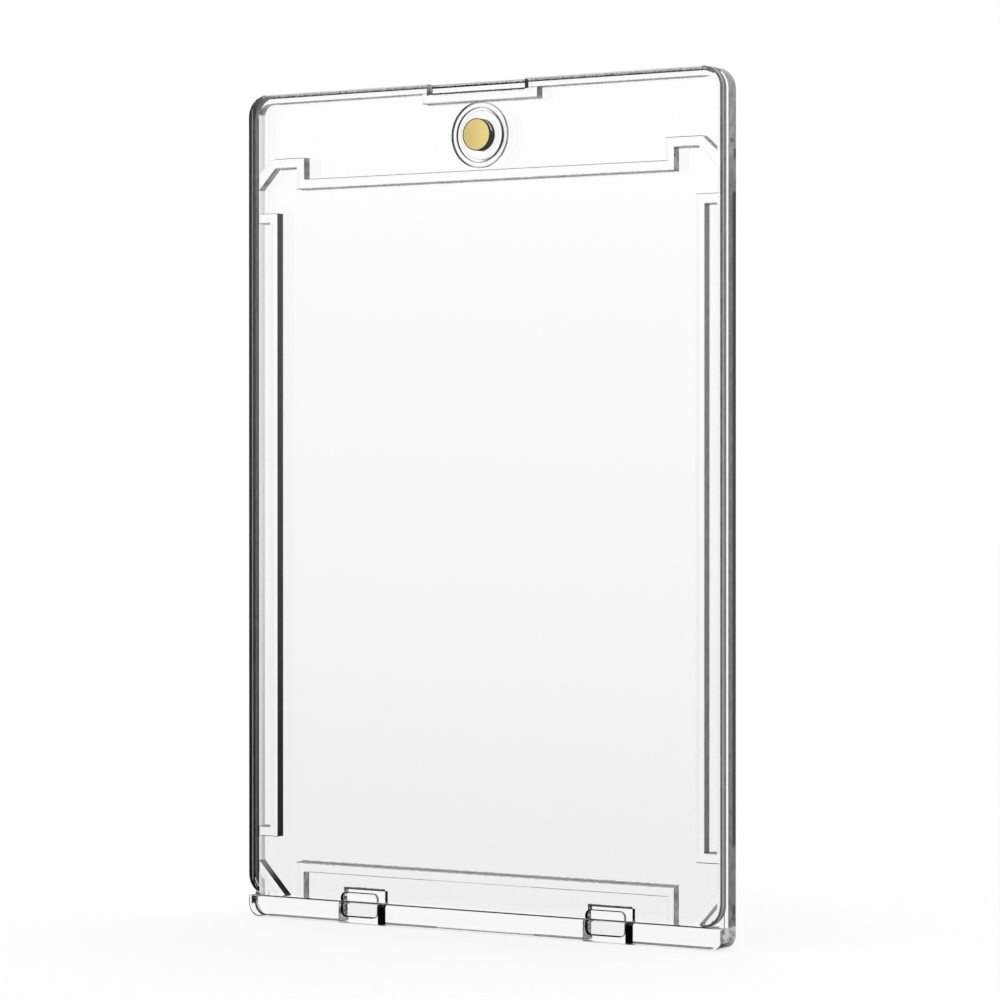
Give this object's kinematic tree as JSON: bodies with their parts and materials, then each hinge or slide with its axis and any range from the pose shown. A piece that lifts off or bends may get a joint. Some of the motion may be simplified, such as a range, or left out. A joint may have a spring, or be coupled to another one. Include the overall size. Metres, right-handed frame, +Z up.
{
  "type": "trading card display case",
  "caption": "Flat clear hard case for one trading card: recessed rear tray, front cover hooked at the foot, held shut by gold disc magnets.",
  "frame": {"origin": "middle of the footprint: centre of the bounding box, at the lowest face of the ledge", "axes": "+Z up along the height, -Y out of the front cover towards the viewer, +X across to the viewer's right"},
  "size_m": [0.073, 0.0038, 0.11],
  "materials": {
    "clear_tray": "polished clear",
    "clear_cover": "polished clear",
    "gold_plating": "satin gold plate"
  },
  "bodies": {
    "tray": {"rear_tray": "clear_tray", "rear_magnet": "gold_plating"},
    "cover": {"front_cover": "clear_cover", "front_magnet": "gold_plating"}
  },
  "joints": [
    {"name": "cover_hinge", "type": "hinge", "parent": "tray", "child": "cover", "pos_m": [0, -0.00193, 0.0028], "axis": [1, 0, 0], "range_deg": [0, 50]}
  ]
}
